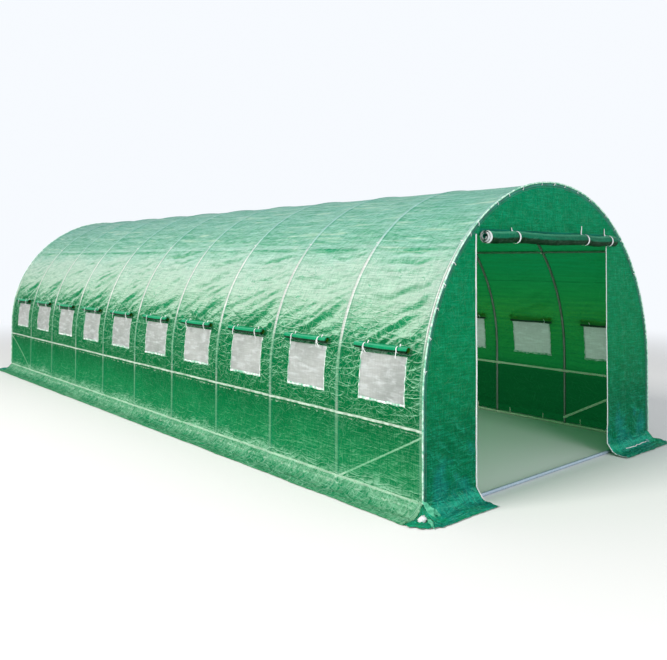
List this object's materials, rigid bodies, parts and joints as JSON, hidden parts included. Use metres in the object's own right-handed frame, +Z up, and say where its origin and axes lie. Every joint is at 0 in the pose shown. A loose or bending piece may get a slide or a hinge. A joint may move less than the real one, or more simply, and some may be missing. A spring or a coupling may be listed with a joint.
{
  "type": "walk-in polytunnel greenhouse",
  "caption": "Walk-in polytunnel: steel hoops and rails under a woven green cover, rolled-up windows along both sides and a doorway rolled open in the front end.",
  "frame": {"origin": "on the ground at the middle of the tunnel's plan, ground flaps included", "axes": "+Z up, +Y along the tunnel towards the closed back end, +X to the right seen from the open door"},
  "size_m": [3.3606, 8.3894, 2.2023],
  "materials": {
    "galvanised_tube": "galvanised steel tube, bluish grey",
    "woven_cover": "green woven polyethylene sheet, slightly glossy and translucent",
    "insect_mesh": "pale grey fine netting",
    "zip_tape": "white woven tape with plastic teeth"
  },
  "bodies": {
    "root": {"hoop_01": "galvanised_tube", "hoop_02": "galvanised_tube", "hoop_03": "galvanised_tube", "hoop_04": "galvanised_tube", "hoop_05": "galvanised_tube", "hoop_06": "galvanised_tube", "hoop_07": "galvanised_tube", "hoop_08": "galvanised_tube", "hoop_09": "galvanised_tube", "hoop_10": "galvanised_tube", "hoop_11": "galvanised_tube", "left_ground_rail": "galvanised_tube", "right_ground_rail": "galvanised_tube", "left_side_rail": "galvanised_tube", "right_side_rail": "galvanised_tube", "left_purlin": "galvanised_tube", "right_purlin": "galvanised_tube", "ridge_purlin": "galvanised_tube", "left_braces": "galvanised_tube", "right_braces": "galvanised_tube", "front_ground_bar": "galvanised_tube", "back_ground_bar": "galvanised_tube", "left_lower_wall": "woven_cover", "right_lower_wall": "woven_cover", "left_window_wall": "woven_cover", "right_window_wall": "woven_cover", "left_shoulder": "woven_cover", "right_shoulder": "woven_cover", "left_roof": "woven_cover", "right_roof": "woven_cover", "front_end_left": "woven_cover", "front_end_right": "woven_cover", "front_end_top": "woven_cover", "back_end_panel": "woven_cover", "back_door": "woven_cover", "front_door_roll": "woven_cover", "left_window_rolls": "woven_cover", "right_window_rolls": "woven_cover", "left_side_flap": "woven_cover", "right_side_flap": "woven_cover", "front_left_flap": "woven_cover", "front_right_flap": "woven_cover", "back_flap": "woven_cover", "left_window_mesh": "insect_mesh", "right_window_mesh": "insect_mesh", "front_door_zips": "zip_tape", "back_door_zips": "zip_tape"}
  },
  "joints": []
}
